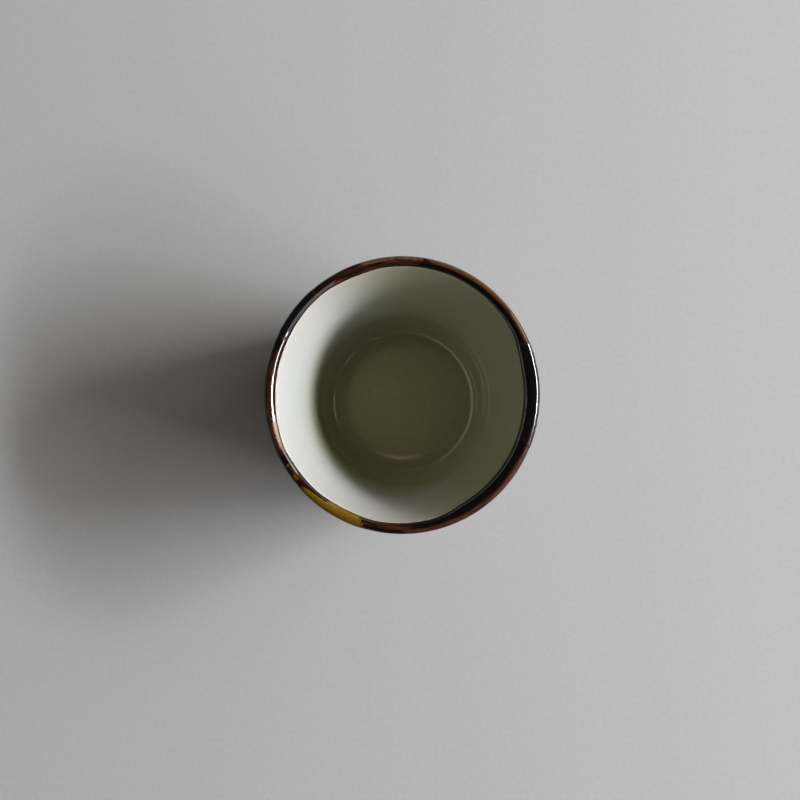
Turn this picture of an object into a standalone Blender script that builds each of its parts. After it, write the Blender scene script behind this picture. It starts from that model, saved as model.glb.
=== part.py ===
"""Soba choko cup: a thrown stoneware body under separate coats of glaze.

The clay has one section outline. Every coat of glaze is a stretch of that outline, stood off by a
seat gap and a thickness, so a change of any size carries all the pieces with it.
Metres, +Z up, origin at the middle of the foot's standing face, +X towards the wide black pour.
"""

import bisect
import math
from collections import namedtuple

import bmesh
import bpy
from mathutils import Matrix, Vector

# Finished sizes, measured over the glaze
RIM_DIAMETER = 0.080
HEIGHT = 0.064
BASE_DIAMETER = 0.060
COVE_RADIUS = 0.008
RECESS_FILLET = 0.0006

# Sizes of the bare clay
LIP_THICKNESS = 0.0013
WALL_THICKNESS = 0.0032
FLOOR_THICKNESS = 0.0041
FOOT_DIAMETER = 0.055
FOOT_HEIGHT = 0.0035
FOOT_RING_WIDTH = 0.0045
FOOT_RECESS = 0.0030
FOOT_EDGE_RADIUS = 0.0005
SHOULDER_RADIUS = 0.0012
LIP_ROUNDNESS = 0.48  # share of the lip's thickness, half being a full round

# Glaze thickness, and the clearance that each coat keeps to the clay and to the next coat
GLAZE = 0.0005
POUR_GLAZE = 0.0007
SEAT_GAP = 0.0003

# Where the dipped coats end, as lengths along the clay
LIP_OVERLAP = 0.0011  # the amber coat comes this far down inside, below the lip's rounding
GLAZE_LINE = 0.0030  # the amber coat stops this far above the shoulder
HAND_WAVE = 0.0005  # a dipped edge wanders this far to either side
HAND_LOBES = 5

# The black pours and the yellow splash, which run down over the lip
WIDE_POUR_TURN = math.radians(0)
WIDE_POUR_HALF_WIDTH = 0.0155
WIDE_POUR_LENGTH = 0.041
NARROW_POUR_TURN = math.radians(142)
NARROW_POUR_HALF_WIDTH = 0.0088
NARROW_POUR_LENGTH = 0.030
SPLASH_TURN = math.radians(238)
SPLASH_HALF_WIDTH = 0.0105
SPLASH_LENGTH = 0.020
TONGUE_POWER = 2.6  # how square a tongue is, 2 being an ellipse
CUTTER_MARGIN = 0.010  # a cutter reaches this far past what it cuts

# Facets
SEGMENTS = 64
COVE_STEPS = 7
LIP_STEPS = 4
EDGE_STEPS = 2
RECESS_STEPS = 3
TONGUE_STEPS = 20
SHARP_ANGLE = math.radians(40)
MERGE = 1e-6

# Fired colours, as linear red, green and blue, and roughness
STONEWARE = (0.38, 0.27, 0.18), 0.8
PALE_ASH = (0.58, 0.59, 0.54), 0.12
PALE_ASH_IN_FOOT = (0.52, 0.52, 0.46), 0.15
AMBER = (0.11, 0.035, 0.012), 0.1
BLACK = (0.012, 0.006, 0.004), 0.1
YELLOW = (0.30, 0.17, 0.01), 0.1

COAT = SEAT_GAP + GLAZE
Corner = namedtuple("Corner", "place rounding steps", defaults=(0, 0))
Pour = namedtuple("Pour", "turn half_width length")


def clay_corners():
    """The clay section's corners as (radius, height), from the inner floor over the lip to the recess."""
    lip_outer = RIM_DIAMETER / 2 - COAT
    lip_inner = lip_outer - LIP_THICKNESS
    lip_top = HEIGHT - COAT
    lip_rounding = LIP_THICKNESS * LIP_ROUNDNESS
    shoulder = BASE_DIAMETER / 2 - COAT
    floor = FOOT_RECESS + FLOOR_THICKNESS
    taper = (lip_outer - shoulder) / (lip_top - FOOT_HEIGHT)
    floor_edge = shoulder + taper * (floor - FOOT_HEIGHT) - WALL_THICKNESS
    foot_outer = FOOT_DIAMETER / 2
    foot_inner = foot_outer - FOOT_RING_WIDTH
    return {
        "floor_middle": Corner((0, floor)),
        "cove": Corner((floor_edge, floor), COVE_RADIUS + COAT, COVE_STEPS),
        "lip_inner": Corner((lip_inner, lip_top), lip_rounding, LIP_STEPS),
        "lip_outer": Corner((lip_outer, lip_top), lip_rounding, LIP_STEPS),
        "shoulder": Corner((shoulder, FOOT_HEIGHT), SHOULDER_RADIUS, EDGE_STEPS),
        "foot_outer": Corner((foot_outer, 0), FOOT_EDGE_RADIUS, EDGE_STEPS),
        "foot_inner": Corner((foot_inner, 0), FOOT_EDGE_RADIUS, EDGE_STEPS),
        "recess": Corner((foot_inner, FOOT_RECESS), RECESS_FILLET + COAT, RECESS_STEPS),
        "recess_middle": Corner((0, FOOT_RECESS)),
    }


def rounded_corner(before, corner, after, radius, steps):
    """Points of the arc of this radius that touches both sides of a corner."""
    to_before = (before - corner).normalized()
    to_after = (after - corner).normalized()
    half_angle = to_before.angle(to_after) / 2
    centre = corner + (to_before + to_after).normalized() * radius / math.sin(half_angle)
    start = corner + to_before * radius / math.tan(half_angle) - centre
    end = corner + to_after * radius / math.tan(half_angle) - centre
    sweep = start.angle_signed(end)
    return [centre + Matrix.Rotation(-sweep * step / steps, 2) @ start for step in range(steps + 1)]


class Outline:
    """A section outline with rounded corners. A place on it is a length along it, and solid lies to its right."""

    def __init__(self, corners):
        self.points = []
        begins = {}
        places = [Vector(corner.place) for corner in corners.values()]
        for index, (name, corner) in enumerate(corners.items()):
            begins[name] = len(self.points)
            if corner.rounding:
                three = places[index - 1 : index + 2]
                self.points += rounded_corner(*three, corner.rounding, corner.steps)
            else:
                self.points.append(places[index])
        self.lengths = [0.0]
        for here, there in zip(self.points, self.points[1:]):
            self.lengths.append(self.lengths[-1] + (there - here).length)
        self.begin = {name: self.lengths[index] for name, index in begins.items()}
        self.end = self.lengths[-1]

    def between(self, start, end, clear):
        """Lengths of the outline's own points between two places, clear of both."""
        return [length for length in self.lengths if start + clear < length < end - clear]

    def stood_off(self, length, distance):
        """The point this far out from the outline, at a length along it."""
        last = len(self.points) - 1
        index = min(bisect.bisect_left(self.lengths, length, 1), last)
        here, there = self.points[index - 1], self.points[index]
        share = (length - self.lengths[index - 1]) / (self.lengths[index] - self.lengths[index - 1])
        along = (there - here).normalized()
        out = Vector((-along.y, along.x))
        if share == 1 and index < last:
            next_along = (self.points[index + 1] - there).normalized()
            mitre = (out + Vector((-next_along.y, next_along.x))).normalized()
            out = mitre / mitre.dot(out)
        return here.lerp(there, share) + out * distance


CLAY = Outline(clay_corners())


def hand_wave(angle):
    """How far a dipped edge strays at this angle round the cup: two parts slow lobes, one part quicker ones."""
    slow = math.sin(HAND_LOBES * angle)
    quick = math.sin((2 * HAND_LOBES + 1) * angle + 1)
    return HAND_WAVE * (2 * slow + quick) / 3


def coat_section(start, end, thickness, stray=(0, 0)):
    """A coat's section as a loop of points: along its back on the clay, and home along its face.

    An edge on the clay strays from its place and is a quarter-round roll. An end on the axis is square.
    """
    inner = CLAY.between(start, end, HAND_WAVE + thickness + SEAT_GAP)
    turns = [math.pi / 2 * step / EDGE_STEPS for step in range(1, EDGE_STEPS + 1)]
    roll = [(thickness * (1 - math.cos(turn)), thickness * math.sin(turn)) for turn in turns]
    square = [(0, thickness)]
    first, last = start + stray[0], end + stray[1]
    face = [(first + run, rise) for run, rise in (roll if start > 0 else square)]
    face += [(length, thickness) for length in inner]
    face += [(last - run, rise) for run, rise in reversed(roll if end < CLAY.end else square)]
    loop = [CLAY.stood_off(length, SEAT_GAP) for length in (first, *inner, last)]
    return loop + [CLAY.stood_off(length, SEAT_GAP + rise) for length, rise in reversed(face)]


def finished_mesh(name, shape):
    """The shape as a mesh, facing out, smooth but for its sharp edges."""
    bmesh.ops.recalc_face_normals(shape, faces=shape.faces)
    mesh = bpy.data.meshes.new(name)
    shape.to_mesh(mesh)
    shape.free()
    mesh.shade_smooth()
    mesh.set_sharp_from_angle(angle=SHARP_ANGLE)
    return mesh


def turned_mesh(name, section_at):
    """A mesh lofted round the axis through the section at each angle."""
    shape = bmesh.new()
    rings = []
    for step in range(SEGMENTS):
        angle = 2 * math.pi * step / SEGMENTS
        section = section_at(angle)
        rings.append([shape.verts.new((r * math.cos(angle), r * math.sin(angle), z)) for r, z in section])
    sides = [(i - 1, i) for i, point in enumerate(section) if point.x > 0 or section[i - 1].x > 0]
    for here, there in zip(rings, rings[1:] + rings[:1]):
        for i, j in sides:
            shape.faces.new((here[i], here[j], there[j], there[i]))
    bmesh.ops.remove_doubles(shape, verts=shape.verts, dist=MERGE)
    return finished_mesh(name, shape)


def fired_material(name, finish):
    colour, roughness = finish
    material = bpy.data.materials.new(name)
    material.use_nodes = True
    shader = material.node_tree.nodes["Principled BSDF"]
    shader.inputs["Base Color"].default_value = (*colour, 1)
    shader.inputs["Roughness"].default_value = roughness
    shader.inputs["Metallic"].default_value = 0
    return material


def add_piece(name, mesh, material, cup):
    mesh.materials.append(material)
    piece = bpy.data.objects.new(name, mesh)
    piece.parent = cup
    bpy.context.scene.collection.objects.link(piece)
    return piece


def make_clay_body(cup):
    """Wall, floor and foot ring, thrown and turned in one."""
    mesh = turned_mesh("clay_body", lambda angle: CLAY.points)
    add_piece("clay_body", mesh, fired_material("bare_stoneware", STONEWARE), cup)


def make_liner_glaze(cup):
    """The pale coat on the inner floor and wall, up to the amber coat's edge."""
    end = CLAY.begin["lip_inner"] - LIP_OVERLAP - SEAT_GAP / 2
    mesh = turned_mesh("liner_glaze", lambda angle: coat_section(0, end, GLAZE, (0, hand_wave(angle))))
    add_piece("liner_glaze", mesh, fired_material("pale_ash_glaze", PALE_ASH), cup)


def make_foot_well_glaze(cup):
    """The pale coat in the recess that the foot ring stands round."""
    section = coat_section(CLAY.begin["recess"], CLAY.end, GLAZE)
    mesh = turned_mesh("foot_well_glaze", lambda angle: section)
    add_piece("foot_well_glaze", mesh, fired_material("pale_ash_glaze_in_foot", PALE_ASH_IN_FOOT), cup)


def outer_coat_mesh(name, thickness):
    """A coat from just inside the lip, over it and down the wall to the glaze line."""
    start = CLAY.begin["lip_inner"] - LIP_OVERLAP + SEAT_GAP / 2
    end = CLAY.begin["shoulder"] - GLAZE_LINE

    def section(angle):
        return coat_section(start, end, thickness, (hand_wave(angle), hand_wave(angle + 1)))

    return turned_mesh(name, section)


def tongue_outline(half_width, length):
    """Half of a squared ellipse that hangs from the lip's height, under a straight-sided stretch."""
    above = HEIGHT + CUTTER_MARGIN
    outline = [(half_width, above), (-half_width, above)]
    for step in range(TONGUE_STEPS + 1):
        angle = math.pi * step / TONGUE_STEPS
        across = math.copysign(abs(math.cos(angle)) ** (2 / TONGUE_POWER), math.cos(angle))
        down = abs(math.sin(angle)) ** (2 / TONGUE_POWER)
        outline.append((-half_width * across, HEIGHT - length * down))
    return outline


def tongue_cutter(name, pour, grow):
    """A prism through one side of the wall, with a pour's outline grown by a clearance."""
    near = RIM_DIAMETER / 4
    far = RIM_DIAMETER / 2 + CUTTER_MARGIN
    shape = bmesh.new()
    outline = tongue_outline(pour.half_width + grow, pour.length + grow)
    face = shape.faces.new([shape.verts.new((near, across, height)) for across, height in outline])
    pushed = bmesh.ops.extrude_face_region(shape, geom=[face])["geom"]
    moved = [item for item in pushed if isinstance(item, bmesh.types.BMVert)]
    bmesh.ops.translate(shape, verts=moved, vec=(far - near, 0, 0))
    cutter = bpy.data.objects.new(name, finished_mesh(name, shape))
    cutter.rotation_euler.z = pour.turn
    cutter.hide_render = True
    cutter.display_type = "WIRE"
    bpy.context.scene.collection.objects.link(cutter)
    return cutter


def cut(piece, cutter, operation):
    boolean = piece.modifiers.new(cutter.name, "BOOLEAN")
    boolean.operation = operation
    boolean.solver = "EXACT"
    boolean.object = cutter


def make_outer_glazes(cup):
    """The amber coat, with a window for each pour, and the pours that fill the windows."""
    amber_mesh = outer_coat_mesh("amber_glaze", GLAZE)
    amber = add_piece("amber_glaze", amber_mesh, fired_material("amber_iron_glaze", AMBER), cup)
    pours = {
        "black_pour_wide": (Pour(WIDE_POUR_TURN, WIDE_POUR_HALF_WIDTH, WIDE_POUR_LENGTH), BLACK),
        "black_pour_narrow": (Pour(NARROW_POUR_TURN, NARROW_POUR_HALF_WIDTH, NARROW_POUR_LENGTH), BLACK),
        "yellow_splash": (Pour(SPLASH_TURN, SPLASH_HALF_WIDTH, SPLASH_LENGTH), YELLOW),
    }
    for name, (pour, finish) in pours.items():
        cut(amber, tongue_cutter(name + "_window", pour, SEAT_GAP), "DIFFERENCE")
        material = fired_material(name + "_glaze", finish)
        piece = add_piece(name, outer_coat_mesh(name, POUR_GLAZE), material, cup)
        cut(piece, tongue_cutter(name + "_outline", pour, 0), "INTERSECT")


def main():
    for old in list(bpy.data.objects):
        bpy.data.objects.remove(old, do_unlink=True)
    cup = bpy.data.objects.new("cup", None)
    bpy.context.scene.collection.objects.link(cup)
    make_clay_body(cup)
    make_liner_glaze(cup)
    make_foot_well_glaze(cup)
    make_outer_glazes(cup)


main()
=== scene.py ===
# %% [markdown]
# # A soba choko cup in stoneware and glaze
# A soba choko is a small tapered cup with no handle, made for dipping noodles and good for a drink.
# This one is thrown in stoneware, lined with a pale ash glaze, dipped in an amber iron glaze, and
# finished with black and yellow glaze poured over its lip.
# A solid model gives the places and sizes. Here each coat is modelled again, fine enough to show its
# throwing rings, rolled edges and runs, and every surface gets the finish of the real material.

# %% Load the solid model that everything is built on
import math

import bmesh
import bpy
import numpy as np
from mathutils import Matrix, Vector


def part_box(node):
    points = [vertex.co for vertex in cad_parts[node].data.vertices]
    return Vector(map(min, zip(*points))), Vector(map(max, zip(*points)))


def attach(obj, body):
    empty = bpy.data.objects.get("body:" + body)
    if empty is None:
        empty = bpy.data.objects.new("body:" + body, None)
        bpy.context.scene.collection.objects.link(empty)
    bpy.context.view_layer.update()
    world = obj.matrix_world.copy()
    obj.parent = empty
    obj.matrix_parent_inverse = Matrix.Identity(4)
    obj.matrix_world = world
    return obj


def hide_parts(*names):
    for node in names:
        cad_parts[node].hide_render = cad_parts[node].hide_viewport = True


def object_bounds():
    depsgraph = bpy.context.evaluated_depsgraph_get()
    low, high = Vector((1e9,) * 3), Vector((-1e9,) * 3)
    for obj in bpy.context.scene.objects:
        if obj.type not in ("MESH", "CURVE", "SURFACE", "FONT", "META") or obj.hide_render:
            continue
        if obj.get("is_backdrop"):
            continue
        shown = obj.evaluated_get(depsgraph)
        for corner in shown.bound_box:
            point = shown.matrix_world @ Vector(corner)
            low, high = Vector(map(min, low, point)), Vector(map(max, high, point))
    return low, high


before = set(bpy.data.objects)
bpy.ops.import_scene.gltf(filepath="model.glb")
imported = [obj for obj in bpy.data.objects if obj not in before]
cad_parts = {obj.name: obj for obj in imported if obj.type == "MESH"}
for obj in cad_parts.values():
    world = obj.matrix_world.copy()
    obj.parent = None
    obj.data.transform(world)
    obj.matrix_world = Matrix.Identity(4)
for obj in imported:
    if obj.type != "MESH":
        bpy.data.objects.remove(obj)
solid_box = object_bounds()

MM = 0.001
print("solids:", ", ".join(sorted(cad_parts)))

# %% [markdown]
# ## Sizes
# The height, the thickness of a coat and the level of the inner floor come from the solids, where each
# coat keeps a small gap to the clay. The rim, the base and the thickness of the clay are the potter's
# own numbers. The rest of the cup hangs on these few, so its form can be changed in one place.

# %% Read the cup's sizes
SEAT_GAP = 0.3 * MM
RIM_RADIUS = 40.0 * MM
BASE_RADIUS = 30.0 * MM
CLAY_LIP = 1.3 * MM
CLAY_WALL = 3.6 * MM
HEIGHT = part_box("amber_glaze")[1].z
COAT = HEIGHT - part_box("clay_body")[1].z
FLOOR_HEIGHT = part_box("liner_glaze")[0].z - SEAT_GAP
print(f"height {HEIGHT / MM:.1f} mm, a coat {COAT / MM:.2f} mm, clay floor {FLOOR_HEIGHT / MM:.1f} mm up")

# %% [markdown]
# ## The camera
# The photograph looks almost straight down. The rim's circle gives the scale there, and the inner
# floor's circle, which lies deeper, looks smaller: the two together give the camera's distance. The
# floor's circle also sits a little off the rim's, which gives the small tilt.
# A constraint could aim the camera, but one that looks straight down has no natural up. So its three
# axes are set one by one, with the top of the picture towards +Y.

# %% Place the camera
CAMERA_PLACE = Vector((1.1, -16.7, 464.0)) * MM
CAMERA_AIM = Vector((-0.6, -1.6, 64.0)) * MM
LENS_MM = 62.7
SENSOR_MM = 36

camera = bpy.data.objects.new("camera", bpy.data.cameras.new("camera"))
bpy.context.scene.collection.objects.link(camera)
camera.data.lens = LENS_MM
camera.data.sensor_width = SENSOR_MM
away = (CAMERA_PLACE - CAMERA_AIM).normalized()
right = Vector((0, 1, 0)).cross(away).normalized()
axes = Matrix((right, away.cross(right), away)).transposed()
camera.matrix_world = Matrix.Translation(CAMERA_PLACE) @ axes.to_4x4()
bpy.context.scene.camera = camera
print("camera", [round(v, 4) for v in camera.location], "lens", LENS_MM)

# %% [markdown]
# ## Colours and nodes
# Colours are written as sRGB hex values, the way a colour picker shows them. Shaders work in linear
# light, so one function turns them. A second adds a node, sets it, links it and hands back one of its
# outputs, so that a material reads from top to bottom like a recipe. A third starts a material.

# %% Three helpers for every material
def linear(hex_colour):
    """An sRGB hex colour as linear red, green, blue and alpha."""
    channels = [int(hex_colour[i : i + 2], 16) / 255 for i in (1, 3, 5)]
    return (*[c / 12.92 if c <= 0.04045 else ((c + 0.055) / 1.055) ** 2.4 for c in channels], 1)


def add(tree, kind, inputs=None, output=0, **settings):
    """Adds a node, sets its properties, sets or links its inputs, and gives one of its outputs."""
    made = tree.nodes.new(kind)
    for name, value in settings.items():
        setattr(made, name, value)
    for name, value in (inputs or {}).items():
        if isinstance(value, bpy.types.NodeSocket):
            tree.links.new(value, made.inputs[name])
        else:
            made.inputs[name].default_value = value
    return made.outputs[output]


def new_material(name, roughness, ior):
    """A material, its nodes, its shader and the place that patterns hang on."""
    material = bpy.data.materials.new(name)
    material.use_nodes = True
    tree = material.node_tree
    shader = tree.nodes["Principled BSDF"]
    shader.inputs["Roughness"].default_value = roughness
    shader.inputs["IOR"].default_value = ior
    return material, tree, shader, add(tree, "ShaderNodeTexCoord", None, "Object")


print("#808080 is", round(linear("#808080")[0], 3), "in linear light")

# %% [markdown]
# ## Floor and light
# A long low window lights the cup from the right, so the left of the inside is bright and its floor
# lies in shade. One big soft light could do that, but glaze is a mirror and shows the shape of a lamp.
# So the window is three panes and a thin strip at its lintel, with a pale wall to each side and a
# patch of sky, each an area lamp of its own.
# The room behind them is a colour that changes with direction: dim overhead and paler along the
# horizon. It shows the outside of the cup from every side and still leaves the inside dark.

# %% Lay the floor
FLOOR_RADIUS = 1.8
FLOOR_SIDES = 128
MOTTLE = 1.5 * MM

bpy.ops.mesh.primitive_circle_add(vertices=FLOOR_SIDES, radius=FLOOR_RADIUS, fill_type="NGON")
floor = bpy.context.object
floor.name = "floor"
floor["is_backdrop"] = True
# Board painted with a roller is matt, with a faint mottle.
board, tree, shader, place = new_material("grey_board_rolled", roughness=0.9, ior=1.5)
mottle = add(tree, "ShaderNodeTexNoise", {"Vector": place, "Scale": 1 / MOTTLE, "Detail": 4})
tones = {"Factor": mottle, "A": linear("#a2a19c"), "B": linear("#afaea9")}
tone = add(tree, "ShaderNodeMix", tones, "Result", data_type="RGBA")
tree.links.new(tone, shader.inputs["Base Color"])
floor.data.materials.append(board)
print("floor", 2 * FLOOR_RADIUS, "m across")

# %% Hang the window, the walls and the sky
LAMP_DISTANCE = 2.0
DAYLIGHT = "#f2f5ff"
WARM_WALL = "#ffecd4"
BLUE_SKY = "#d4dcff"
# name, azimuth and elevation in degrees, width and height in metres, watts, colour
LAMPS = [
    ("window", 8, 32.2, 0.8, 0.28, 51, DAYLIGHT),
    ("side_pane", -15, 31.5, 0.7, 0.24, 20, DAYLIGHT),
    ("end_pane", 27, 32, 0.7, 0.40, 7, DAYLIGHT),
    ("near_wall", -38, 15, 1.3, 1.0, 6, WARM_WALL),
    ("far_wall", 48, 15, 2.2, 1.0, 9, WARM_WALL),
    ("sky", -40, 40, 0.9, 0.5, 4.0, BLUE_SKY),
    ("lintel", 8, 45, 0.8, 0.05, 1.1, DAYLIGHT),
]

mouth = Vector((0, 0, HEIGHT))
for name, azimuth, elevation, width, tall, watts, tint in LAMPS:
    lamp = bpy.data.objects.new(name, bpy.data.lights.new(name, "AREA"))
    bpy.context.scene.collection.objects.link(lamp)
    lamp.data.shape = "RECTANGLE"
    lamp.data.size = width
    lamp.data.size_y = tall
    lamp.data.energy = watts
    lamp.data.color = linear(tint)[:3]
    lamp.visible_camera = False
    raised = Matrix.Rotation(-math.radians(elevation), 3, "Y")
    turned = Matrix.Rotation(math.radians(azimuth), 3, "Z") @ raised
    lamp.location = mouth + turned @ Vector((LAMP_DISTANCE, 0, 0))
    lamp.rotation_euler = (mouth - lamp.location).to_track_quat("-Z", "Y").to_euler()
print("lamps:", ", ".join(f"{lamp[0]} {lamp[5]} W" for lamp in LAMPS))

# %% Light the room
# light overhead and along the horizon, and the share of that on the side away from the window
OVERHEAD = 0.05
HORIZON = 1.2
FAR_SIDE = 0.22
HORIZON_ENDS = math.sin(math.radians(28))
# The horizon brightens towards the window, between these two values of a direction's X.
BRIGHTER_FROM = 0.3
BRIGHTEST_FROM = 0.8

world = bpy.data.worlds.new("room")
bpy.context.scene.world = world
world.use_nodes = True
tree = world.node_tree
background = tree.nodes["Background"]
background.inputs["Color"].default_value = linear("#fff8ea")
direction = add(tree, "ShaderNodeTexCoord", None, "Generated")
towards = add(tree, "ShaderNodeSeparateXYZ", {"Vector": direction}).node.outputs
round_about = {"Value": towards["X"], "From Min": BRIGHTER_FROM, "From Max": BRIGHTEST_FROM}
round_about.update({"To Min": HORIZON * FAR_SIDE, "To Max": HORIZON})
side = add(tree, "ShaderNodeMapRange", round_about)
upward = {"Value": towards["Z"], "From Max": HORIZON_ENDS, "To Min": side, "To Max": OVERHEAD}
glow = add(tree, "ShaderNodeMapRange", upward, interpolation_type="SMOOTHSTEP")
tree.links.new(glow, background.inputs["Strength"])
bpy.context.scene.view_settings.view_transform = "Standard"
print(f"room: {OVERHEAD} overhead, {HORIZON * FAR_SIDE:.2f} to {HORIZON} along the horizon")

# %% [markdown]
# ## One section for all the coats
# A potter throws one wall, and every coat follows it. The inner floor is a shallow well, whose edge
# climbs in two small steps before the cove sweeps up into the wall: those steps catch fine rings of
# light. Under the cup a trimmed ring stands round a recess.
# Each coat could be drawn on its own, but then they would not fit. So the clay's section is walked
# once, from the middle of the inner floor over the lip to the middle of the recess. A place on the cup
# is then a length along that walk and an angle, and a coat is a lift off the clay.

# %% Place the corners of the clay's section
WELL_RADIUS = 22.3 * MM
WELL_ROUND = 1.5 * MM
# slope in degrees and length in millimetres of each small step from the floor up into the cove
WELL_STEPS = [(24, 0.62), (31, 0.9)]
COVE_SLOPE = 47
COVE_RADIUS = 6.0 * MM
LIP_INNER_ROUND = 0.48 * CLAY_LIP
LIP_OUTER_ROUND = 0.3 * CLAY_LIP
SHOULDER_ROUND = 1.2 * MM
FOOT_RADIUS = 27.5 * MM
FOOT_HEIGHT = 3.5 * MM
FOOT_RING = 4.5 * MM
FOOT_ROUND = 0.5 * MM
RECESS = 3.0 * MM
RECESS_ROUND = 1.4 * MM

clay_top = HEIGHT - COAT
lip_outer = RIM_RADIUS - COAT
lip_inner = lip_outer - CLAY_LIP
foot_inner = FOOT_RADIUS - FOOT_RING
taper = (RIM_RADIUS - BASE_RADIUS) / (clay_top - FOOT_HEIGHT)
floor_edge = BASE_RADIUS - COAT + taper * (FLOOR_HEIGHT - FOOT_HEIGHT) - CLAY_WALL
wall_lean = (lip_inner - floor_edge) / (clay_top - FLOOR_HEIGHT)
steps = [Vector((WELL_RADIUS, FLOOR_HEIGHT))]
for slope, long in WELL_STEPS:
    climb = math.radians(slope)
    steps.append(steps[-1] + long * MM * Vector((math.cos(climb), math.sin(climb))))
cove_run = 1 / math.tan(math.radians(COVE_SLOPE))
rise = steps[-1].y - FLOOR_HEIGHT
cove_height = (floor_edge - steps[-1].x + rise * cove_run) / (cove_run - wall_lean)
CORNERS = {
    "floor_middle": ((0, FLOOR_HEIGHT), 0),
    "well": (steps[0], WELL_ROUND),
    "well_step": (steps[1], WELL_ROUND),
    "well_rise": (steps[2], WELL_ROUND),
    "cove": ((floor_edge + wall_lean * cove_height, FLOOR_HEIGHT + cove_height), COVE_RADIUS),
    "lip_inner": ((lip_inner, clay_top), LIP_INNER_ROUND),
    "lip_outer": ((lip_outer, clay_top), LIP_OUTER_ROUND),
    "shoulder": ((BASE_RADIUS - COAT, FOOT_HEIGHT), SHOULDER_ROUND),
    "foot_outer": ((FOOT_RADIUS, 0), FOOT_ROUND),
    "foot_inner": ((foot_inner, 0), FOOT_ROUND),
    "recess": ((foot_inner, RECESS), RECESS_ROUND),
    "recess_middle": ((0, RECESS), 0),
}
print(f"{len(CORNERS)} corners, cove {cove_height / MM:.1f} mm above the floor")

# %% Walk the clay's section
ARC_STEPS = 24
# The top of the lip lies just past its inner rounding.
PAST_ROUNDING = 0.02 * CLAY_LIP


def walk_section(corners):
    """Rounds each corner.

    Gives arrays of places and normals, and the rows where each rounding starts and ends.
    """
    places = [Vector(place) for place, _ in corners.values()]
    points, normals, rows = [places[0]], [Vector((0, 1))], {}
    for index, (name, (_, radius)) in enumerate(list(corners.items())[1:-1], 1):
        here = places[index]
        back = (places[index - 1] - here).normalized()
        on = (places[index + 1] - here).normalized()
        half = back.angle(on) / 2
        centre = here + (back + on).normalized() * radius / math.sin(half)
        spoke = here + back * radius / math.tan(half) - centre
        sweep = spoke.angle_signed(here + on * radius / math.tan(half) - centre)
        rows[name] = len(points), len(points) + ARC_STEPS
        for step in range(ARC_STEPS + 1):
            turned = Matrix.Rotation(-sweep * step / ARC_STEPS, 2) @ spoke
            points.append(centre + turned)
            normals.append(turned.normalized() * math.copysign(1, sweep))
    points.append(places[-1])
    normals.append(Vector((0, -1)))
    return np.array(points), np.array(normals), rows


section, section_normals, section_rows = walk_section(CORNERS)
walked = np.concatenate(([0], np.cumsum(np.linalg.norm(np.diff(section, axis=0), axis=1))))
START = {name: walked[first] for name, (first, _) in section_rows.items()}
END = {name: walked[last] for name, (_, last) in section_rows.items()}
LIP_TOP = END["lip_inner"] + PAST_ROUNDING
print(f"section {walked[-1] / MM:.0f} mm long, lip top at {LIP_TOP / MM:.1f} mm")

# %% [markdown]
# ## What the hand leaves
# Fingers leave shallow lines low inside the cup and a faint spiral outside. A wet leather leaves two
# small facets on the lip. And a thrown cup is never quite round or level: this one is a little oval,
# with one flatter side, and its lip waves by a tenth of a millimetre.
# A sculpting brush could make such marks, but its strokes can't be repeated. Soft humps and sums of
# sines give the same marks each time, and the clay and every coat share them, so nothing slides apart.

# %% Soft steps, waves and humps
# turns round the cup and pace along the section of each wave in a wander, from coarse to fine
WAVES = [(3, 0.9), (5, -1.3), (8, 1.7), (13, -2.3), (21, 3.1)]
WAVE_FADE = 1.5
WAVE_SCALE = 1.5
SEED_STEP = 1.7


def smooth(value, low, high):
    """0 below low, 1 above high, and a soft step between."""
    share = np.clip((value - low) / (high - low), 0, 1)
    return share * share * (3 - 2 * share)


def wander(angle, along, seed):
    """A smooth irregular wave between about -1 and 1, closed round the cup."""
    total = sum(
        np.sin(turns * angle + pace * along + seed * (k + 1) * SEED_STEP) / (k + WAVE_FADE)
        for k, (turns, pace) in enumerate(WAVES)
    )
    return total / WAVE_SCALE


def bump(distance, width):
    """A soft hump, 1 in its middle."""
    return np.exp(-((distance / width) ** 2))


def off_angle(angle, middle):
    """Degrees from a middle angle, between -180 and 180."""
    return (np.degrees(angle) - middle + 180) % 360 - 180


def inner_length(height):
    """Length along the section where the inside reaches a height."""
    rows = slice(section_rows["well"][0], section_rows["lip_inner"][0] + 1)
    return np.interp(height, section[rows, 1], walked[rows])


print(f"half way up the inside is {inner_length(HEIGHT / 2) / MM:.1f} mm along the section")

# %% Throwing lines and a hand-made lip
# height above the clay's floor, depth and half width of each finger line, in millimetres
INNER_LINES = [(2.0, 0.06, 0.26), (5.0, 0.05, 0.4), (10, 0.06, 0.4), (19, 0.03, 1.0), (32, 0.012, 2.0)]
LINE_SWAY = 0.2 * MM
# The lip's two facets lie this far from its top.
LIP_FACET = 0.375 * MM
FACET_WIDTH = 0.28 * MM
INNER_BEVEL = 0.13 * MM
OUTER_BEVEL = 0.065 * MM
OUTER_PITCH = 8.0 * MM
OUTER_RING_HEIGHT = 0.045 * MM
RINGS_FROM = 2 * MM
RINGS_FULL = 9 * MM
RINGS_FADE = 6 * MM
LIP_WAVE = 0.10 * MM
LIP_WAVE_POWER = 6
OVAL = 0.0045
OVAL_TURN = 1.6
FLAT_SIDE = 0.004
# middle and half width of the flatter side, in degrees
FLAT_MIDDLE = -3
FLAT_WIDTH = 24


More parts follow.
